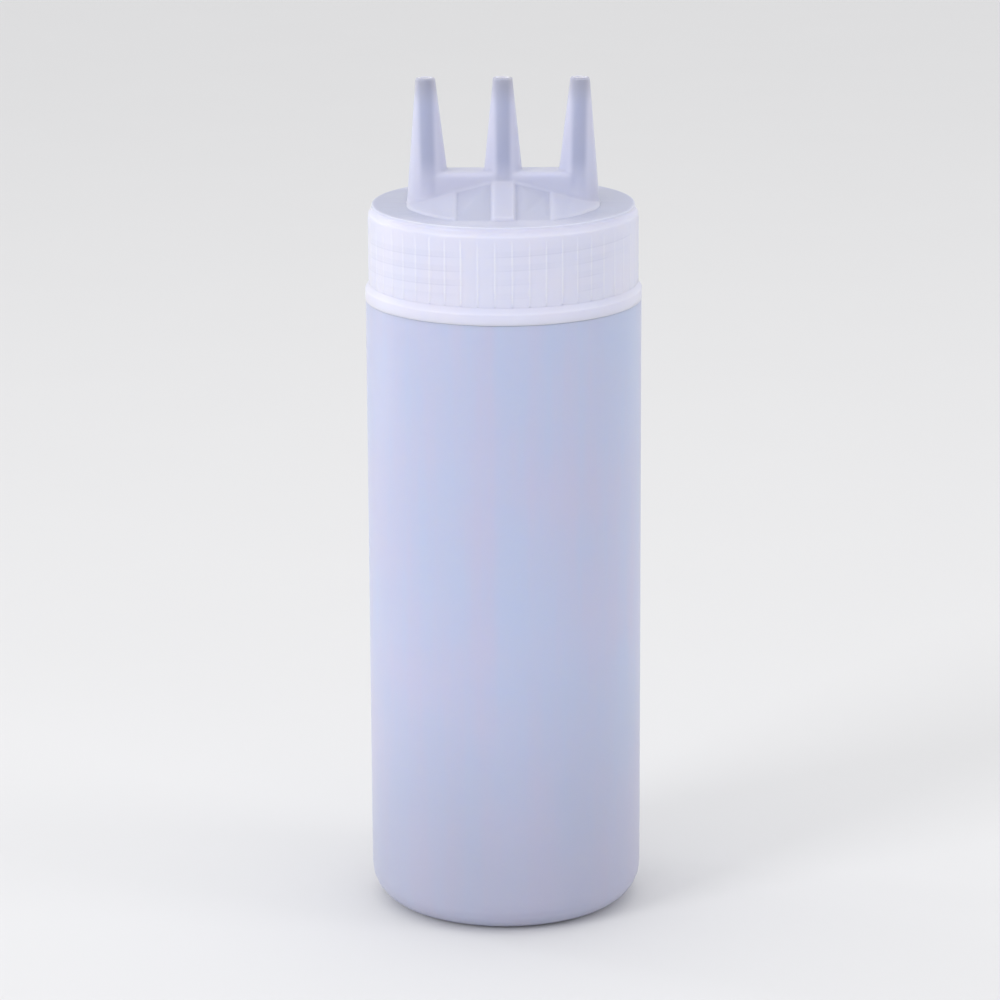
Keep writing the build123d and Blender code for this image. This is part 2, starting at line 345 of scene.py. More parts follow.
def leave_edit():
    """Closes the piece that is being edited."""
    bpy.ops.object.mode_set(mode="OBJECT")


def pick(piece, kind, test):
    """Selects, in an edited piece, the vertices, edges or faces whose element passes the test."""
    bpy.ops.mesh.select_mode(type=kind)
    bpy.ops.mesh.select_all(action="DESELECT")
    leave_edit()
    parts = {"VERT": piece.data.vertices, "EDGE": piece.data.edges, "FACE": piece.data.polygons}[kind]
    for part in parts:
        part.select = test(part)
    bpy.ops.object.mode_set(mode="EDIT")


def closed_up():
    """Merges doubled vertices of the edited piece and points its faces outwards."""
    bpy.ops.mesh.select_all(action="SELECT")
    bpy.ops.mesh.remove_doubles(threshold=MERGE_DISTANCE)
    bpy.ops.mesh.normals_make_consistent(inside=False)


def set_down():
    """Puts the active object's place, turn and scale into its mesh."""
    bpy.ops.object.transform_apply(location=True, rotation=True, scale=True)


def primitive(name, add, **settings):
    """New piece from the operator that adds its primitive, alone selected, with its place in its mesh."""
    bpy.ops.object.select_all(action="DESELECT")
    add(**settings)
    piece = bpy.context.object
    piece.name = name
    set_down()
    return piece


def upright_cone(name, low_radius, high_radius, low_z, high_z):
    """New cone, cut off at its top, between two heights on the axis."""
    return primitive(
        name, bpy.ops.mesh.primitive_cone_add, vertices=CONE_STEPS, radius1=low_radius, radius2=high_radius,
        depth=high_z - low_z, location=(0, 0, (low_z + high_z) / 2),
    )


def chain_piece(name, points):
    """New piece, left in edit mode: one chain of edges through the points."""
    piece = primitive(name, bpy.ops.mesh.primitive_plane_add, size=1.0)
    bpy.ops.object.mode_set(mode="EDIT")
    bpy.ops.mesh.select_mode(type="VERT")
    bpy.ops.mesh.merge(type="CENTER")
    bpy.ops.transform.translate(value=points[0])
    for here, there in zip(points, points[1:]):
        bpy.ops.mesh.extrude_region_move(TRANSFORM_OT_translate={"value": there - here})
    return piece


def outline_piece(name, outline):
    """New piece, left in edit mode: one chain of edges through (radius, z) points in the XZ plane."""
    return chain_piece(name, [Vector((point.x, 0, point.y)) for point in outline])


def ruled_piece(name, stations):
    """New piece ruled along X from station to station, each an x and the (y, z) corners of its section."""
    here_x, corners = stations[0]
    piece = chain_piece(name, [Vector((here_x, y, z)) for y, z in corners])
    bpy.ops.mesh.select_all(action="SELECT")
    bpy.ops.mesh.edge_face_add()
    for next_x, next_corners in stations[1:]:
        bpy.ops.mesh.extrude_region_move(TRANSFORM_OT_translate={"value": (next_x - here_x, 0, 0)})
        for (old_y, old_z), (new_y, new_z) in zip(corners, next_corners):
            place = Vector((next_x, old_y, old_z))
            pick(piece, "VERT", lambda part: (part.co - place).length < MERGE_DISTANCE)
            bpy.ops.transform.translate(value=(0, new_y - old_y, new_z - old_z))
        pick(piece, "FACE", lambda part: abs(part.center.x - next_x) < MERGE_DISTANCE)
        here_x, corners = next_x, next_corners
    closed_up()
    leave_edit()
    return piece


def turned_piece(name, points, steps):
    """New piece: an outline spun round the axis, with a face centred on +X."""
    piece = outline_piece(name, points)
    bpy.ops.mesh.select_all(action="SELECT")
    bpy.ops.transform.rotate(value=pi / steps, orient_axis="Z", center_override=(0, 0, 0))
    bpy.ops.mesh.spin(steps=steps, angle=FULL_TURN, center=(0, 0, 0), axis=(0, 0, 1))
    closed_up()
    leave_edit()
    return piece


def apply_modifier(piece, kind, **settings):
    """Adds a modifier with its settings and applies it."""
    select_only(piece)
    bpy.ops.object.modifier_add(type=kind)
    modifier = piece.modifiers[-1]
    for setting, value in settings.items():
        setattr(modifier, setting, value)
    bpy.ops.object.modifier_apply(modifier=modifier.name)


def combine(piece, tool, operation):
    """Joins a tool to the piece or cuts it out, and removes the tool."""
    apply_modifier(piece, "BOOLEAN", operation=operation, solver="MANIFOLD", object=tool)
    bpy.data.objects.remove(tool)


def merged(name, pieces):
    """Several overlapping pieces as one object."""
    select_only(pieces[0])
    for piece in pieces:
        piece.select_set(True)
    bpy.ops.object.join()
    pieces[0].name = name
    return pieces[0]


def smooth(piece):
    """Shades the piece smooth, except across its sharp edges."""
    select_only(piece)
    bpy.ops.object.shade_smooth_by_angle(angle=SHARP_ANGLE)


def finish_piece(piece, body, node, material):
    """Gives a finished piece its material and its place in the frame."""
    piece.data.materials.clear()
    piece.data.materials.append(material)
    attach(piece, body)
    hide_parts(node)


# Sizes that follow from the settings


def neck_radius(scene):
    """Radius of the neck under its thread."""
    return scene.bottle_sizes.radius - scene.bottle_sizes.shoulder_width


def shoulder_z(scene):
    """Height of the shoulder."""
    return scene.bottle_sizes.neck_top - scene.bottle_sizes.neck_height


def bore_radius(scene):
    """Radius of the cap's bore, which clears the neck's thread."""
    return neck_radius(scene) + scene.thread_sizes.height + scene.thread_sizes.play


def under_top_z(scene):
    """Height of the flat top's underside, which clears the ring as much as the ring clears the rim."""
    return RING_HIGH.z + RING_LOW.z - scene.bottle_sizes.neck_top


def top_z(scene):
    """Height of the flat top."""
    return under_top_z(scene) + scene.cap_sizes.top_wall


def skirt_radius(scene):
    """Outer radius of the cap's skirt."""
    return bore_radius(scene) + scene.cap_sizes.skirt_wall


def rim_radius(scene):
    """Radius of the flat top."""
    return skirt_radius(scene) - scene.cap_sizes.step_width


# Thread


def thread_ridge(scene, wall_radius, outward, low_z, turns, start):
    """One helical ridge on a wall, its root sunk in the wall and both its ends faded into it."""
    sizes = scene.thread_sizes
    side = 1 if outward else -1
    crest_radius = wall_radius + side * sizes.height
    sunk_radius = wall_radius - side * sizes.sink
    half_root = sizes.root_width / 2
    half_crest = sizes.crest_width / 2
    section = [
        Vector((sunk_radius, low_z - half_root)),
        Vector((crest_radius, low_z - half_crest)),
        Vector((crest_radius, low_z + half_crest)),
        Vector((sunk_radius, low_z + half_root)),
        Vector((sunk_radius, low_z - half_root)),
    ]
    ridge = outline_piece("thread_ridge", section)
    bpy.ops.mesh.select_all(action="SELECT")
    bpy.ops.mesh.remove_doubles(threshold=MERGE_DISTANCE)
    leave_edit()
    steps = round(sizes.steps_per_turn * turns)
    apply_modifier(
        ridge, "SCREW", angle=FULL_TURN * turns, screw_offset=sizes.lead * turns, steps=steps,
        render_steps=steps, use_merge_vertices=False,
    )
    edit(ridge)
    bpy.ops.mesh.select_all(action="SELECT")
    bpy.ops.mesh.fill_holes(sides=len(section) - 1)
    bpy.ops.mesh.normals_make_consistent(inside=False)
    fade_steps = round(sizes.fade / FULL_TURN * sizes.steps_per_turn)
    low_radius = wall_radius - side * sizes.sink / 2
    for step in range(fade_steps):
        rise = sin(step / fade_steps * pi / 2)
        shrink = (low_radius + side * (sizes.height + sizes.sink / 2) * rise) / crest_radius
        for place in (step, steps - step):
            centre_z = low_z + sizes.lead * place / sizes.steps_per_turn
            pick(ridge, "VERT", lambda part: is_crest(part, crest_radius, centre_z, half_crest))
            bpy.ops.transform.resize(value=(shrink, shrink, 1), center_override=(0, 0, 0))
    leave_edit()
    ridge.rotation_euler.z = sizes.phase + FULL_TURN * start / sizes.starts
    set_down()
    return ridge


def is_crest(vertex, crest_radius, centre_z, half_crest):
    """Whether a vertex lies on a ridge's crest at the height of one section."""
    off_crest = abs(vertex.co.xy.length - crest_radius)
    off_height = abs(abs(vertex.co.z - centre_z) - half_crest)
    return off_crest < MERGE_DISTANCE and off_height < MERGE_DISTANCE


def add_thread(scene, piece, wall_radius, outward, low_z, turns):
    """Joins all the starts of a thread to a wall."""
    for start in range(scene.thread_sizes.starts):
        combine(piece, thread_ridge(scene, wall_radius, outward, low_z, turns, start), "UNION")


# Bottle body


def dome(sizes, height, steps=10):
    """Points of the base's raised middle, from the axis out, lifted by height."""
    radii = [sizes.push_up_radius * step / steps for step in range(steps)]
    return [(r, height + sizes.push_up_height * (1 - (r / sizes.push_up_radius) ** 2), 0) for r in radii]


def body_outline(scene):
    """Closed outline of the body: the outside from the axis up to the rim, then the inside back down."""
    sizes = scene.bottle_sizes
    neck = neck_radius(scene)
    mouth = neck - sizes.neck_wall
    shoulder = shoulder_z(scene)
    under_shoulder = shoulder - sizes.shoulder_wall
    inner = sizes.radius - sizes.wall
    outside = dome(sizes, 0) + [
        (sizes.push_up_radius, 0, sizes.foot_corner),
        (sizes.radius, 0, sizes.base_corner),
        (sizes.radius, shoulder, sizes.shoulder_corner),
        (neck, shoulder, sizes.neck_root),
        (neck, sizes.neck_top, sizes.neck_lip),
        (mouth, sizes.neck_top, sizes.neck_lip),
        (mouth, under_shoulder, sizes.shoulder_corner),
        (inner, under_shoulder, sizes.shoulder_corner),
        (inner, sizes.base_wall, sizes.base_corner - sizes.wall),
        (sizes.push_up_radius, sizes.base_wall, 0),
    ]
    return rounded_outline(outside + dome(sizes, sizes.base_wall)[::-1])


def raise_parting_line(piece, sizes):
    """Lifts the column of faces at each end of the X axis a hair, where the two halves of the mould met."""
    column = FULL_TURN / sizes.steps

    def on_parting(face):
        radius = face.center.xy.length
        off_axis = abs(face.center.y)
        outermost = face.normal.xy.dot(face.center.xy) > 0 and radius > sizes.radius * OUTERMOST_SHARE
        return outermost and off_axis < sizes.radius * column / 4

    edit(piece)
    pick(piece, "FACE", on_parting)
    bpy.ops.mesh.inset(thickness=0, depth=sizes.parting_height)
    leave_edit()


def pinch_seam(sizes):
    """Low rounded ridge across the raised middle of the base, where the mould pinched the tube shut."""
    rounding, steps = sizes.pinch_width / 4, 2
    seam = primitive(
        "pinch_seam", bpy.ops.mesh.primitive_cube_add, size=1.0, location=(0, 0, sizes.push_up_height),
        scale=(sizes.pinch_length, sizes.pinch_width, 2 * sizes.pinch_height),
    )
    edit(seam)
    bpy.ops.mesh.subdivide(number_cuts=1)
    bpy.ops.mesh.bevel(offset=rounding, segments=steps, affect="EDGES")
    leave_edit()
    return seam


class BOTTLE_OT_body(bpy.types.Operator):
    """Model the blown body with its threaded neck, parting line and pinched seam"""

    bl_idname = "squeeze_bottle.body"
    bl_label = "Bottle Body"

    def execute(self, context):
        scene = context.scene
        sizes = scene.bottle_sizes
        body = turned_piece("bottle_body", body_outline(scene), sizes.steps)
        raise_parting_line(body, sizes)
        combine(body, pinch_seam(sizes), "UNION")
        threads = scene.thread_sizes
        low_z = shoulder_z(scene) + threads.neck_rise
        add_thread(scene, body, neck_radius(scene), True, low_z, threads.neck_turns)
        smooth(body)
        finish_piece(body, "bottle", "bottle", body_plastic(scene.plastic_look))
        return {"FINISHED"}


# Cap: skirt and flat top


def rib_top_z(scene):
    """Height of the ribs' upper ends."""
    sizes = scene.cap_sizes
    return top_z(scene) - sizes.step_drop - sizes.step_height - sizes.rib_end_gap


def soft_step(rim, skirt, high, height, steps=10):
    """Points of the soft step from under the flat top's edge, down and out to the skirt."""
    parts = [step / steps for step in range(steps + 1)]
    return [(rim + (skirt - rim) * sin(pi / 2 * part) ** 2, high - height * part, 0) for part in parts]


def cap_outline(scene):
    """Closed outline of the cap without its hood: over the flat top, down outside, and up the bore."""
    sizes = scene.cap_sizes
    bore = bore_radius(scene)
    skirt = skirt_radius(scene)
    rim = rim_radius(scene)
    top = top_z(scene)
    bead_top = sizes.low + sizes.bead_height
    lip = shoulder_z(scene) + sizes.seat_gap
    retainer_top = RING_LOW.z - sizes.retainer_drop
    retainer_middle = retainer_top - sizes.retainer_height / 2
    return rounded_outline([
        (0, top, 0),
        (rim - sizes.top_corner - sizes.support, top, 0),
        (rim, top, sizes.top_corner),
        *soft_step(rim, skirt, top - sizes.step_drop, sizes.step_height),
        (skirt, rib_top_z(scene), 0),
        (skirt, bead_top + sizes.inner_corner, 0),
        (skirt, bead_top, sizes.inner_corner / 2),
        (sizes.bead_radius, bead_top - sizes.bead_flank, sizes.bead_top_corner),
        (sizes.bead_radius, lip, sizes.bead_low_corner),
        (bore, lip, sizes.inner_corner),
        (bore, retainer_top - sizes.retainer_height, 0),
        (bore - sizes.retainer_depth, retainer_middle, sizes.inner_corner / 2),
        (bore, retainer_top, 0),
        (bore, under_top_z(scene), sizes.inner_corner),
        (0, under_top_z(scene), 0),
    ])


def raise_ribs(scene, piece):
    """Lifts evenly spaced columns of the skirt's faces into fine grip ribs with sloping flanks."""
    sizes = scene.cap_sizes
    skirt = skirt_radius(scene)
    column = FULL_TURN / (sizes.rib_count * sizes.steps_per_rib)
    low = sizes.low + sizes.bead_height
    high = rib_top_z(scene)

    def on_rib(face):
        centre = face.center
        around = round(atan2(centre.y, centre.x) / column) % sizes.steps_per_rib
        upright = abs(face.normal.z) < UPRIGHT_LIMIT and low < centre.z < high
        outermost = face.normal.xy.dot(centre.xy) > 0 and centre.xy.length > skirt * OUTERMOST_SHARE
        return around == 0 and upright and outermost

    edit(piece)
    pick(piece, "FACE", on_rib)
    bpy.ops.mesh.inset(thickness=sizes.rib_bevel, depth=sizes.rib_height, use_individual=True)
    leave_edit()


def cap_shell(scene):
    """The cap's skirt and flat top, with its bead, grip ribs, soft step, inner thread and ring retainer."""
    sizes = scene.cap_sizes
    shell = turned_piece("cap", cap_outline(scene), sizes.rib_count * sizes.steps_per_rib)
    raise_ribs(scene, shell)
    threads = scene.thread_sizes
    below = (threads.root_width + threads.crest_width) / 2 + threads.flank_play
    low_z = shoulder_z(scene) + threads.neck_rise - below
    add_thread(scene, shell, bore_radius(scene), False, low_z, threads.cap_turns)
    return shell


# Cap: hood, bar and nozzles


# The hood's hollow is inset by the hood's wall, but at its corners by this share of it along each axis.
CORNER_INSET_SHARE = 3 / 4
# A cutter stands out from the panel that it sinks by this many widths of the panel's border.
CUTTER_FRAMES = 4


def mirrored_stations(half):
    """Stations from the far end of the row to the near one, from those of one half, outermost first."""
    return half + [(-x, corners) for x, corners in reversed(half)]


def there_and_back(front):
    """Corners of a section whose back mirrors its front, from those of its front."""
    return front + [(-y, z) for y, z in reversed(front)]


def ridge_z(scene, x, drop):
    """Height of the hood's ridge at x."""
    sizes = scene.hood_sizes
    return top_z(scene) + sizes.rise - drop - sizes.ridge_fall * (x - sizes.ridge_half_length)


def hood_block(scene, name, inset, foot_z, drop):
    """Hood: a low wall and a slope up to the ridge on both sides. Inset and dropped for its hollow."""
    sizes = scene.hood_sizes
    wall_top = top_z(scene) + sizes.wall_height - drop
    ridge_half = sizes.ridge_half_depth - inset / 2
    half_depth = sizes.half_depth - inset
    corner_inset = inset * CORNER_INSET_SHARE
    outline = (
        (sizes.half_length - inset, sizes.end_half_depth - inset),
        (sizes.corner_half - corner_inset, sizes.corner_half_depth - corner_inset),
        (sizes.flat_half - inset / 2, half_depth),
        (sizes.ridge_half_length, half_depth),
    )
    stations = []
    for x, depth in outline:
        front = [(-depth, foot_z), (-depth, wall_top), (-ridge_half, ridge_z(scene, x, drop))]
        stations.append((x, there_and_back(front)))
    return ruled_piece(name, mirrored_stations(stations))


def round_corners(scene, hood):
    """Rounds off the upright corners at both ends of the hood."""
    sizes = scene.hood_sizes

    def upright_at_end(edge):
        first, second = [hood.data.vertices[index].co for index in edge.vertices]
        upright = (first.xy - second.xy).length < MERGE_DISTANCE
        return upright and abs(first.x) > sizes.flat_half + MERGE_DISTANCE

    edit(hood)
    pick(hood, "EDGE", upright_at_end)
    bpy.ops.mesh.bevel(offset=sizes.corner_rounding, segments=BEVEL_STEPS, affect="EDGES")
    closed_up()
    leave_edit()


def centre_rib(scene, foot_z):
    """Broad low rib that runs over the hood from front to back."""
    sizes = scene.hood_sizes
    proud = sizes.half_depth + sizes.rib_height
    wall_top = top_z(scene) + sizes.wall_height + sizes.rib_height
    ridge_top = top_z(scene) + sizes.rise + sizes.rib_height
    corners = there_and_back([(-proud, foot_z), (-proud, wall_top), (-sizes.ridge_half_depth, ridge_top)])
    return ruled_piece("centre_rib", [(sizes.rib_width / 2, corners), (-sizes.rib_width / 2, corners)])


def panel_cutter(scene, side, face):
    """Cutter that sinks the panel beside the rib, at the front (face -1) or the back (face 1)."""
    sizes = scene.hood_sizes
    low = Vector((face * sizes.half_depth, top_z(scene) + sizes.wall_height))
    clear = CUTTER_FRAMES * sizes.panel_frame
    stations = []
    for x in (sizes.panel_half_gap, sizes.ridge_half_length, sizes.flat_half):
        high = Vector((face * sizes.ridge_half_depth, ridge_z(scene, max(x, sizes.ridge_half_length), 0)))
        along = (high - low).normalized()
        outward = Vector((face * along.y, -face * along.x))
        foot = low - along * sizes.wall_height - outward * sizes.panel_depth
        head = high - along * sizes.panel_frame - outward * sizes.panel_depth
        corners = (foot, head, head + outward * clear, foot + outward * clear)
        stations.append((side * x, [tuple(corner) for corner in corners]))
    return ruled_piece("panel_cutter", stations)


def drafted_slot(name, half_length, low_radius, high_radius, low_z, high_z):
    """Block with round ends along X that narrows evenly from its foot to its top."""
    block = upright_cone(name, low_radius, high_radius, low_z, high_z)
    edit(block)
    for side in ENDS:
        pick(block, "VERT", lambda part: side * part.co.x > MERGE_DISTANCE)
        bpy.ops.transform.translate(value=(side * half_length, 0, 0))
    leave_edit()
    return block


def draft_slope(scene):
    """How much a nozzle's radius falls for each metre of its height."""
    sizes = scene.nozzle_sizes
    return (sizes.base_radius - sizes.tip_radius) / sizes.height


def bar(scene, foot_z):
    """Bar along the nozzles' row, drafted like the nozzles, with rounded upper edges."""
    sizes = scene.hood_sizes
    nozzles = scene.nozzle_sizes
    slope = draft_slope(scene)
    top = top_z(scene)
    radius = nozzles.base_radius - sizes.bar_step
    foot_radius = radius + slope * (top - foot_z)
    high_radius = radius - slope * sizes.bar_rise
    half_length = nozzles.pitch - sizes.bar_end_back
    block = drafted_slot("bar", half_length, foot_radius, high_radius, foot_z, top + sizes.bar_rise)
    edit(block)
    pick(block, "FACE", lambda part: part.normal.z > LEVEL_LIMIT)
    bpy.ops.mesh.bevel(offset=sizes.bar_edge, segments=BEVEL_STEPS, affect="EDGES")
    leave_edit()
    return block


def leaning_cone(scene, name, side, low_radius, high_radius, low, high):
    """Cone on a nozzle's axis between two heights over the flat top."""
    nozzles = scene.nozzle_sizes
    cone = upright_cone(name, low_radius, high_radius, low, high)
    cone.rotation_euler.y = side * nozzles.lean
    cone.location = (side * nozzles.pitch, 0, top_z(scene))
    set_down()
    return cone


def nozzle(scene, side, sink):
    """One tapered nozzle, its foot sunk into the flat top."""
    sizes = scene.nozzle_sizes
    foot_radius = sizes.base_radius + draft_slope(scene) * sink
    return leaning_cone(scene, "nozzle", side, foot_radius, sizes.tip_radius, -sink, sizes.height)


def nozzle_bore(scene, side):
    """Tapered bore from the bar's hollow to the nozzle's outlet."""
    sizes = scene.nozzle_sizes
    foot = scene.hood_sizes.bar_rise - scene.hood_sizes.bar_wall - sizes.bore_overlap
    high = sizes.height + sizes.bore_overlap
    return leaning_cone(scene, "nozzle_bore", side, sizes.bore_radius, sizes.outlet_radius, foot, high)


def slab(scene):
    """Disc under the merged shapes, from which their fillets rise."""
    wall = scene.cap_sizes.top_wall
    middle = top_z(scene) - scene.hood_sizes.slab_drop - wall / 2
    return primitive(
        "slab", bpy.ops.mesh.primitive_cylinder_add, vertices=SLAB_STEPS, radius=rim_radius(scene),
        depth=wall, location=(0, 0, middle),
    )


def cut_off(piece, height, sink):
    """Cuts the piece off at a height, closes it there and lengthens it downwards."""
    edit(piece)
    bpy.ops.mesh.select_all(action="SELECT")
    bpy.ops.mesh.bisect(
        plane_co=(0, 0, height), plane_no=(0, 0, 1), threshold=BISECT_DISTANCE,
        clear_inner=True, use_fill=True,
    )
    pick(piece, "FACE", lambda part: part.normal.z < -LEVEL_LIMIT and part.center.z < height + MERGE_DISTANCE)
    bpy.ops.mesh.extrude_region_move(TRANSFORM_OT_translate={"value": (0, 0, -sink)})
    closed_up()
    leave_edit()


def channel(scene):
    """Hollow of the bar, open below to the hood's hollow and above to the nozzles' bores."""
    sizes = scene.hood_sizes
    nozzles = scene.nozzle_sizes
    rise = sizes.bar_rise - sizes.bar_wall
    half_width = nozzles.base_radius - sizes.bar_step - sizes.bar_wall - draft_slope(scene) * rise
    low = under_top_z(scene) - nozzles.bore_overlap
    return drafted_slot("channel", nozzles.pitch, half_width, half_width, low, top_z(scene) + rise)


def raised_shapes(scene):
    """Hood, bar and nozzles merged into one soft shape with sunk panels, ready to stand in the flat top."""
    sizes = scene.hood_sizes
    foot_z = top_z(scene) - sizes.sink
    base = slab(scene)
    hood = hood_block(scene, "hood", 0, foot_z, 0)
    round_corners(scene, hood)
    for side in ENDS:
        for face in ENDS:
            combine(hood, panel_cutter(scene, side, face), "DIFFERENCE")
    solids = [base, hood, centre_rib(scene, foot_z), bar(scene, foot_z)]
    solids += [nozzle(scene, side, sizes.sink) for side in NOZZLES]
    raised = merged("raised_shapes", solids)
    apply_modifier(raised, "REMESH", mode="VOXEL", voxel_size=sizes.grain)
    apply_modifier(raised, "SMOOTH", factor=SMOOTHING, iterations=sizes.softening)
    cut_off(raised, top_z(scene), sizes.sink)
    return raised


class BOTTLE_OT_cap(bpy.types.Operator):
    """Model the screw cap with its hood, bar and three hollow nozzles as one soft moulding"""

    bl_idname = "squeeze_bottle.cap"
    bl_label = "Screw Cap"

    def execute(self, context):
        scene = context.scene
        sizes = scene.hood_sizes
        cap = cap_shell(scene)
        combine(cap, raised_shapes(scene), "UNION")
        cut_low = under_top_z(scene) - scene.nozzle_sizes.bore_overlap
        tools = [hood_block(scene, "hood_hollow", sizes.wall, cut_low, sizes.wall), channel(scene)]
        tools += [nozzle_bore(scene, side) for side in NOZZLES]
        for tool in tools:
            combine(cap, tool, "DIFFERENCE")
        smooth(cap)
        finish_piece(cap, "cap", "nozzle_cap", cap_plastic(scene))
        return {"FINISHED"}


# Materials


PLASTIC_IOR = 1.5
PLASTIC_SHINE = 0.3
SCATTER_SHARES = (1.0, 0.95, 0.85)
SATIN_DEPTH = 0.012 * MM


class Signal:
    """A socket's value on its way through a material, for shader maths written as plain expressions."""

    def __init__(self, graph, socket):
        self.graph = graph
        self.socket = socket

    def __add__(self, other):
        return self.graph.maths("ADD", self, other)

    def __sub__(self, other):
        return self.graph.maths("SUBTRACT", self, other)

    def __mul__(self, other):
        return self.graph.maths("MULTIPLY", self, other)

    def __truediv__(self, other):
        return self.graph.maths("DIVIDE", self, other)

    def __rsub__(self, other):
        return self.graph.maths("SUBTRACT", other, self)

    def __rtruediv__(self, other):
        return self.graph.maths("DIVIDE", other, self)

    __radd__ = __add__
    __rmul__ = __mul__


class Graph:
    """Node tree of one material."""

    def __init__(self, name):
        self.material = bpy.data.materials.new(name)
        self.material.use_nodes = True
        self.tree = self.material.node_tree
        self.tree.nodes.clear()

    def node(self, kind, settings=None, inputs=None, output=0):
        """New node with its settings made first and its sockets then given values or links."""
        made = self.tree.nodes.new(kind)
        for setting, value in (settings or {}).items():
            setattr(made, setting, value)
        for socket, value in (inputs or {}).items():
            if isinstance(value, Signal):
                self.tree.links.new(value.socket, made.inputs[socket])
            else:
                made.inputs[socket].default_value = value
        return Signal(self, made.outputs[output]) if made.outputs else None

    def maths(self, operation, *values):
        """Result of an operation on numbers."""
        return self.node("ShaderNodeMath", {"operation": operation}, dict(enumerate(values)))

    def position(self):
        """Place on the piece, in metres."""
        return self.node("ShaderNodeTexCoord", output="Object")

    def coordinate(self, vector, index):
        """One coordinate of a place, by its index."""
        return self.node("ShaderNodeSeparateXYZ", {}, {0: vector}, output=index)

    def stretched(self, vector, scale):
        """A place multiplied by a scale along each axis."""
        return self.node("ShaderNodeVectorMath", {"operation": "MULTIPLY"}, {0: vector, 1: scale})

    def noise(self, vector, size, detail=2.0):
        """Noise from 0 to 1 whose features are about the given size."""
        return self.node("ShaderNodeTexNoise", {}, {"Vector": vector, "Scale": 1 / size, "Detail": detail})

    def ramp(self, signal, low, high):
        """Smooth step from 0 at low to 1 at high."""
        values = {"Value": signal, "From Min": low, "From Max": high}
        return self.node("ShaderNodeMapRange", {"interpolation_type": "SMOOTHSTEP"}, values)

    def band(self, signal, low, high, soft):
        """1 where the signal lies between low and high, fading to 0 over the soft margin inside them."""
        return self.ramp(signal, low, low + soft) * (1 - self.ramp(signal, high - soft, high))

    def distance(self, along, away):
        """Length of a step along one axis and then along another."""
        return self.maths("SQRT", along * along + away * away)

    def mix(self, factor, first, second):
        """Colour between two colours."""
        first_colour, second_colour, mixed_colour = 6, 7, 2
        values = {"Factor": factor, first_colour: first, second_colour: second}
        return self.node("ShaderNodeMix", {"data_type": "RGBA"}, values, output=mixed_colour)

    def bump(self, height, distance, normal=None):
        """Normal tipped by a height signal, which reaches the given distance in metres."""
        values = {"Height": height, "Distance": distance, "Strength": 1.0}
        if normal:
            values["Normal"] = normal
        return self.node("ShaderNodeBump", {}, values)

    def finish(self, shader):
        """Links the shader to the material's output."""
        self.node("ShaderNodeOutputMaterial", {}, {"Surface": shader})
        return self.material


def opaque(rgb):
    """Colour with full alpha."""
    return (*rgb, 1.0)


def darker(rgb, remaining):
    """Colour darkened to the remaining share of itself, with full alpha."""
    return opaque([remaining * part for part in rgb])


def milky_shader(graph, look, base_colour, roughness, normal):
    """Soft translucent plastic: light scatters in the wall, and a little passes straight through."""
    return graph.node("ShaderNodeBsdfPrincipled", {"subsurface_method": "RANDOM_WALK"}, {
        "Base Color": base_colour,
        "Roughness": roughness,
        "IOR": PLASTIC_IOR,
        "Subsurface Weight": 1.0,
        "Subsurface Radius": SCATTER_SHARES,
        "Subsurface Scale": look.light_depth,
        "Transmission Weight": look.clearness,
        "Specular IOR Level": PLASTIC_SHINE,
        "Normal": normal,
    })


def body_plastic(look):
    """Blown milky plastic: faintly cloudy, a little streaked along its height, with a fine satin grain."""
    cloud_size, streak_size, wave_size, satin_size = 30 * MM, 3.5 * MM, 14 * MM, 0.45 * MM
    streak_stretch, wave_stretch, wave_depth = 0.06, 0.4, 0.2 * MM
    cloud_share, streak_share, cool_limit, warm_limit = 0.6, 0.4, 0.35, 0.68
    foot_height, foot_waver, cloud_roughness, streak_roughness = 80 * MM, 20 * MM, 0.08, 0.05
    graph = Graph("body_plastic")
    place = graph.position()
    clouds = graph.noise(place, cloud_size, detail=3.0)
    streaks = graph.noise(graph.stretched(place, (1, 1, streak_stretch)), streak_size)
    tint = graph.ramp(clouds * cloud_share + streaks * streak_share, cool_limit, warm_limit)
    base = graph.mix(tint, opaque(look.body_colour), opaque(look.body_warm))
    foot = 1 - graph.ramp(graph.coordinate(place, 2) + clouds * foot_waver, 0, foot_height)
    base = graph.mix(foot * look.foot_shade, base, opaque(look.foot_colour))
    smoothest = look.roughness - (cloud_roughness + streak_roughness) / 2
    roughness = clouds * cloud_roughness + streaks * streak_roughness + smoothest
    satin = graph.bump(graph.noise(place, satin_size), SATIN_DEPTH)
    waves = graph.noise(graph.stretched(place, (1, 1, wave_stretch)), wave_size, detail=1.0)
    normal = graph.bump(waves, wave_depth, normal=satin)
    return graph.finish(milky_shader(graph, look, base, roughness, normal))


class CapPlace:
    """Where a point of the cap lies, as the signals that the cap's colours are built from."""

    def __init__(self, graph, scene):
        self.graph = graph
        self.scene = scene
        self.place = graph.position()
        self.across, self.back, self.up = [graph.coordinate(self.place, index) for index in range(3)]
        self.side = graph.maths("ABSOLUTE", self.across)
        self.depth = graph.maths("ABSOLUTE", self.back)
        self.bearing = graph.maths("ARCTAN2", self.back, self.across)
        self.over_top = self.up - top_z(scene)

    def off_nozzles(self):
        """Distance along X from the nearest nozzle's axis."""
        sizes = self.scene.nozzle_sizes
        outer = self.side - sizes.pitch - self.over_top * tan(sizes.lean)
        return self.graph.maths("MINIMUM", self.graph.maths("ABSOLUTE", outer), self.side)


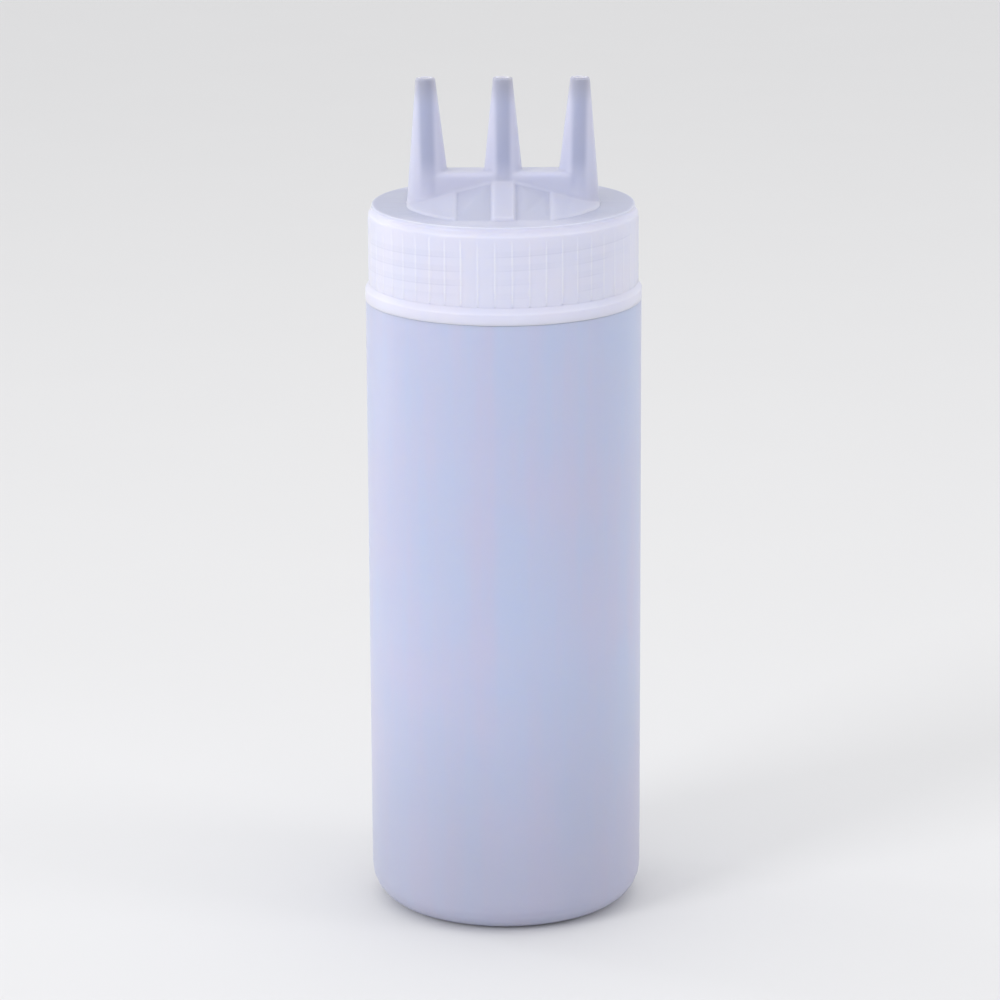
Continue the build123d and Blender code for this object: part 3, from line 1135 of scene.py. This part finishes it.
def thread_shade_lines(graph, scene, cap):
    """1 on the fine lines where painted shade shows the lower flanks of the neck's thread through the skirt,
    faint over its ridges.
    """
    middle, line_half_width, line_soft, ridge_soft, ridge_light = 0.5, 0.08, 0.07, 0.12, 0.4
    threads = scene.thread_sizes
    pitch = threads.lead / threads.starts
    low_z = shoulder_z(scene) + threads.neck_rise
    high_z = low_z + threads.lead * threads.neck_turns
    turns = (cap.bearing - threads.phase) * (threads.starts / FULL_TURN)
    phase = graph.maths("FRACT", (cap.up - low_z) / pitch - turns + middle)
    half = threads.root_width / pitch / 2
    flank = middle - half
    lines = graph.band(phase, flank - line_half_width, flank + line_half_width, line_soft)
    ridge = graph.band(phase, flank, middle + half, ridge_soft)
    threaded = graph.band(cap.up, low_z - pitch / 2, high_z + pitch / 2, pitch / 2)
    return (lines + ridge * ridge_light) * threaded


def rib_highlight_mask(graph, scene, cap):
    """1 on the skirt's ribs, fading towards both their ends, where the painted highlight lightens them."""
    rib_share, middle, end_fade = 1.4, 0.5, 3 * MM
    sizes = scene.cap_sizes
    half = rib_share / sizes.steps_per_rib / 2
    phase = graph.maths("FRACT", cap.bearing * (sizes.rib_count / FULL_TURN) + middle)
    ribbed = graph.band(cap.up, sizes.low + sizes.bead_height, rib_top_z(scene), end_fade)
    return graph.band(phase, middle - half, middle + half, half) * ribbed


def row_shade(graph, scene, cap):
    """Painted shade where the bores in the nozzles and the bar's hollow would darken the walls in front of
    them.
    """
    look = scene.plastic_look
    sizes = scene.hood_sizes
    core_half, flank_half = 0.9 * MM, 2.2 * MM
    foot_share, stem_share = 0.4, 0.6
    hollow_end, hollow_fade, hollow_soft = 1.0 * MM, 1.6 * MM, 1.2 * MM
    row_edge, row_fade = 0.5 * MM, 1.0 * MM
    core = 1 - graph.ramp(cap.off_nozzles(), core_half, flank_half)
    feet = graph.ramp(cap.over_top, sizes.wall_height, sizes.rise)
    stems = graph.ramp(cap.over_top, sizes.rise, 2 * sizes.rise)
    end = scene.nozzle_sizes.pitch + hollow_end
    inside = 1 - graph.ramp(cap.side, end, end + hollow_fade)
    hollow = graph.band(cap.over_top, sizes.wall_height, sizes.bar_rise, hollow_soft) * inside * (1 - core)
    bores = core * (feet * foot_share + stems * stem_share)
    edge = sizes.ridge_half_depth + row_edge
    near_row = 1 - graph.ramp(cap.depth, edge, edge + row_fade)
    return (bores * look.core_shade + hollow * look.hollow_shade) * near_row


def panel_shade_mask(graph, scene, cap):
    """1 on the hood's sunk panels, where painted shade darkens them."""
    sizes = scene.hood_sizes
    soft, frame_width, foot_fade = 0.5 * MM, 1.1 * MM, 0.2 * MM
    beside_rib = graph.band(cap.side, sizes.panel_half_gap, sizes.flat_half, soft)
    ridge = sizes.ridge_half_depth + frame_width
    under_ridge = graph.band(cap.depth, ridge, sizes.half_depth + soft, soft)
    return beside_rib * under_ridge * graph.ramp(cap.over_top, 0, foot_fade)


def disc_shade_mask(graph, scene, cap):
    """1 on the flat top at the two ends of the nozzles' row, fading out over its edge, where painted shade
    darkens it.
    """
    edge_inside, edge_outside, height_fade = 0.8 * MM, 0.4 * MM, 0.2 * MM
    near, far = 12 * MM, 24 * MM
    rim = rim_radius(scene)
    radius = graph.distance(cap.across, cap.back)
    within = 1 - graph.ramp(radius, rim - edge_inside, rim + edge_outside)
    return within * (1 - graph.ramp(cap.over_top, 0, height_fade)) * (1 - graph.ramp(cap.depth, near, far))


def painted_see_through_shade(graph, scene, cap):
    """How much painted shade darkens the cap's wall where it would look see-through, from its solid skirt to
    the nozzles in front of their bores.
    """
    look = scene.plastic_look
    deepest, shallowest = 0.8 * MM, 0.2 * MM
    raised = graph.ramp(cap.over_top, -deepest, -shallowest)
    panels = panel_shade_mask(graph, scene, cap) * look.panel_shade
    disc = disc_shade_mask(graph, scene, cap) * raised * look.disc_shade
    row = row_shade(graph, scene, cap)
    return row + panels + disc + raised * look.raised_shade + look.wall_shade


def cap_plastic(scene):
    """Moulded milky plastic of the cap: whiter than the body, with painted shade where its wall is thin or a
    hollow lies behind it, on the nozzles' tips and over the neck's thread, and painted highlights on its
    ribs.
    """
    look = scene.plastic_look
    nozzles = scene.nozzle_sizes
    cloud_size, patch_size, satin_size, cloud_roughness = 11 * MM, 16 * MM, 0.35 * MM, 0.1
    cool_limit, warm_limit, clear_limit, patch_limit = 0.36, 0.66, 0.42, 0.62
    bore_edge, wall_edge, tip_start = 0.3 * MM, 0.7 * MM, 0.76
    graph = Graph("cap_plastic")
    cap = CapPlace(graph, scene)
    clouds = graph.noise(cap.place, cloud_size, detail=3.0)
    tint = graph.ramp(clouds, cool_limit, warm_limit)
    white = graph.mix(tint, opaque(look.cap_colour), opaque(look.cap_warm))
    # Painted highlight: the ribs are lightened towards the rib colour.
    white = graph.mix(rib_highlight_mask(graph, scene, cap) * look.rib_highlight, white, opaque(look.rib_highlight_colour))
    # Painted shade: fine dark lines over the neck's thread, faded in patches.
    patches = graph.ramp(graph.noise(cap.place, patch_size, detail=1.0), clear_limit, patch_limit)
    threads = thread_shade_lines(graph, scene, cap) * (patches * look.thread_shade)
    # The painted shade and the tips' painted grey stay off the nozzles' bores and outlets.
    from_axis = graph.distance(cap.off_nozzles(), cap.back)
    outside = graph.ramp(from_axis, nozzles.outlet_radius + bore_edge, nozzles.outlet_radius + wall_edge)
    # Painted shade: the cap darkens towards the thin colour.
    shade = (painted_see_through_shade(graph, scene, cap) + threads) * outside
    base = graph.mix(shade, white, opaque(look.painted_shade_colour))
    # Painted shade: the nozzles' tips are greyed towards the tip colour, outside their bores.
    tips = graph.ramp(cap.over_top, nozzles.height * tip_start, nozzles.height)
    base = graph.mix(tips * outside * look.tip_shade, base, opaque(look.tip_shade_colour))
    roughness = clouds * cloud_roughness + (look.roughness - cloud_roughness / 2)
    normal = graph.bump(graph.noise(cap.place, satin_size), SATIN_DEPTH)
    return graph.finish(milky_shader(graph, look, base, roughness, normal))


def ring_foam(look):
    """Soft closed-cell foam of the sealing ring: matt, with small cells."""
    cell_size, cell_depth, blotch_size, dark_share = 0.35 * MM, 0.05 * MM, 3 * MM, 0.93
    smoothest, blotch_roughness = 0.8, 0.1
    graph = Graph("ring_foam")
    place = graph.position()
    cells = graph.node("ShaderNodeTexVoronoi", {"feature": "F1"}, {"Vector": place, "Scale": 1 / cell_size})
    blotches = graph.noise(place, blotch_size)
    shader = graph.node("ShaderNodeBsdfPrincipled", {}, {
        "Base Color": graph.mix(blotches, opaque(look.ring_colour), darker(look.ring_colour, dark_share)),
        "Roughness": blotches * blotch_roughness + smoothest,
        "Normal": graph.bump(cells, cell_depth),
    })
    return graph.finish(shader)


class BOTTLE_OT_sealing_ring(bpy.types.Operator):
    """Give the sealing ring its foam"""

    bl_idname = "squeeze_bottle.sealing_ring"
    bl_label = "Sealing Ring"

    def execute(self, context):
        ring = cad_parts["sealing_ring"]
        material = ring_foam(context.scene.plastic_look)
        if not ring.material_slots:
            ring.data.materials.append(material)
        for slot in ring.material_slots:
            slot.material = material
        return {"FINISHED"}


# Studio


FLOOR_STEPS = 96
CAMERA_SENSOR = 36.0
CAMERA_NEAR = 0.01

# All lights point at the bottle's middle. Places and sizes are in metres.
BOTTLE_MIDDLE = Vector((0, 0, 0.1))
KEY_PLACE = Vector((-1.22, -1.08, 0.72))
FILL_PLACE = Vector((1.52, -0.50, 0.72))
RIM_PLACE = Vector((-1.25, 0.85, 0.60))
LEFT_STRIP_PLACE = Vector((-0.28, 0.12, 0.17))
RIGHT_STRIP_PLACE = Vector((0.26, 0.24, 0.17))
TOP_PLACE = Vector((0, 0.20, 1.60))
LARGE_LIGHT = (0.60, 1.0)
RIM_LIGHT = (0.18, 0.9)
SLIM_LIGHT = (0.03, 0.28)
TOP_LIGHT = (0.8, 0.8)
LIGHT_SPREAD = radians(80)
RIGHT_STRIP_SHARE = 1 / 6


def floor_material(settings):
    """Plain pale floor."""
    blotch_size, dark_share, roughness = 60 * MM, 0.985, 0.75
    pale = settings.floor_colour
    graph = Graph("studio_floor")
    base = graph.mix(graph.noise(graph.position(), blotch_size), opaque(pale), darker(pale, dark_share))
    values = {"Base Color": base, "Roughness": roughness}
    return graph.finish(graph.node("ShaderNodeBsdfPrincipled", {}, values))


def add_floor(settings):
    """Large round floor under the bottle."""
    floor = primitive(
        "studio_floor", bpy.ops.mesh.primitive_circle_add, vertices=FLOOR_STEPS, radius=settings.floor_radius,
        fill_type="NGON",
    )
    floor.data.materials.append(floor_material(settings))


def add_softbox(name, place, size, power):
    """Rectangular light with a grid, so that little of it falls on the floor, and hidden from the camera."""
    bpy.ops.object.light_add(type="AREA", location=place)
    lamp = bpy.context.object
    lamp.name = name
    lamp.data.shape = "RECTANGLE"
    lamp.data.size, lamp.data.size_y = size
    lamp.data.spread = LIGHT_SPREAD
    lamp.data.energy = power
    lamp.rotation_euler = (BOTTLE_MIDDLE - place).to_track_quat("-Z", "Y").to_euler()
    lamp.visible_camera = False


def add_world(settings):
    """Even pale light from all round."""
    world = bpy.data.worlds.new("studio_world")
    world.use_nodes = True
    background = world.node_tree.nodes["Background"]
    background.inputs["Color"].default_value = (1.0, 1.0, 1.0, 1.0)
    background.inputs["Strength"].default_value = settings.world_strength
    bpy.context.scene.world = world


def add_camera(settings):
    """Camera in front of the bottle, looking a little down on it."""
    bpy.ops.object.camera_add()
    camera = bpy.context.object
    camera.name = "studio_camera"
    camera.data.lens = settings.focal_length
    camera.data.sensor_width = CAMERA_SENSOR
    camera.data.clip_start = CAMERA_NEAR
    turn = Matrix.Rotation(settings.camera_turn, 4, "Z")
    pitch = Matrix.Rotation(pi / 2 - settings.camera_pitch, 4, "X")
    roll = Matrix.Rotation(settings.camera_roll, 4, "Z")
    place = Matrix.Translation((0, -settings.camera_back, settings.camera_height))
    camera.matrix_world = place @ turn @ pitch @ roll
    bpy.context.scene.camera = camera


class BOTTLE_OT_studio(bpy.types.Operator):
    """Build the floor, the soft lights and the camera"""

    bl_idname = "squeeze_bottle.studio"
    bl_label = "Studio"

    def execute(self, context):
        settings = context.scene.studio_settings
        add_floor(settings)
        right_power = settings.strip_power * RIGHT_STRIP_SHARE
        add_softbox("key_light", KEY_PLACE, LARGE_LIGHT, settings.key_power)
        add_softbox("fill_light", FILL_PLACE, LARGE_LIGHT, settings.fill_power)
        add_softbox("rim_light", RIM_PLACE, RIM_LIGHT, settings.rim_power)
        add_softbox("left_strip", LEFT_STRIP_PLACE, SLIM_LIGHT, settings.strip_power)
        add_softbox("right_strip", RIGHT_STRIP_PLACE, SLIM_LIGHT, right_power)
        add_softbox("top_light", TOP_PLACE, TOP_LIGHT, settings.top_power)
        add_world(settings)
        add_camera(settings)
        context.scene.view_settings.view_transform = "Standard"
        return {"FINISHED"}


# Add-on


class BOTTLE_PT_panel(bpy.types.Panel):
    """Sidebar panel with the bottle's pieces and settings"""

    bl_idname = "BOTTLE_PT_panel"
    bl_label = "Squeeze Bottle"
    bl_space_type = "VIEW_3D"
    bl_region_type = "UI"
    bl_category = "Bottle"

    def draw(self, context):
        for operator in OPERATORS:
            self.layout.operator(operator.bl_idname)
        for group_name, group in GROUPS.items():
            box = self.layout.box()
            settings = getattr(context.scene, group_name)
            for name in group.__annotations__:
                box.prop(settings, name)


OPERATORS = (
    BOTTLE_OT_body,
    BOTTLE_OT_cap,
    BOTTLE_OT_sealing_ring,
    BOTTLE_OT_studio,
)


def register():
    """Registers the settings, the operators and the panel."""
    for name, group in GROUPS.items():
        bpy.utils.register_class(group)
        setattr(bpy.types.Scene, name, bpy.props.PointerProperty(type=group))
    for operator in OPERATORS:
        bpy.utils.register_class(operator)
    bpy.utils.register_class(BOTTLE_PT_panel)


def unregister():
    """Removes what register added."""
    bpy.utils.unregister_class(BOTTLE_PT_panel)
    for operator in reversed(OPERATORS):
        bpy.utils.unregister_class(operator)
    for name, group in reversed(GROUPS.items()):
        delattr(bpy.types.Scene, name)
        bpy.utils.unregister_class(group)


def main():
    """Models every piece and the studio."""
    register()
    bpy.ops.squeeze_bottle.body()
    bpy.ops.squeeze_bottle.cap()
    bpy.ops.squeeze_bottle.sealing_ring()
    bpy.ops.squeeze_bottle.studio()


if __name__ == "__main__":
    main()
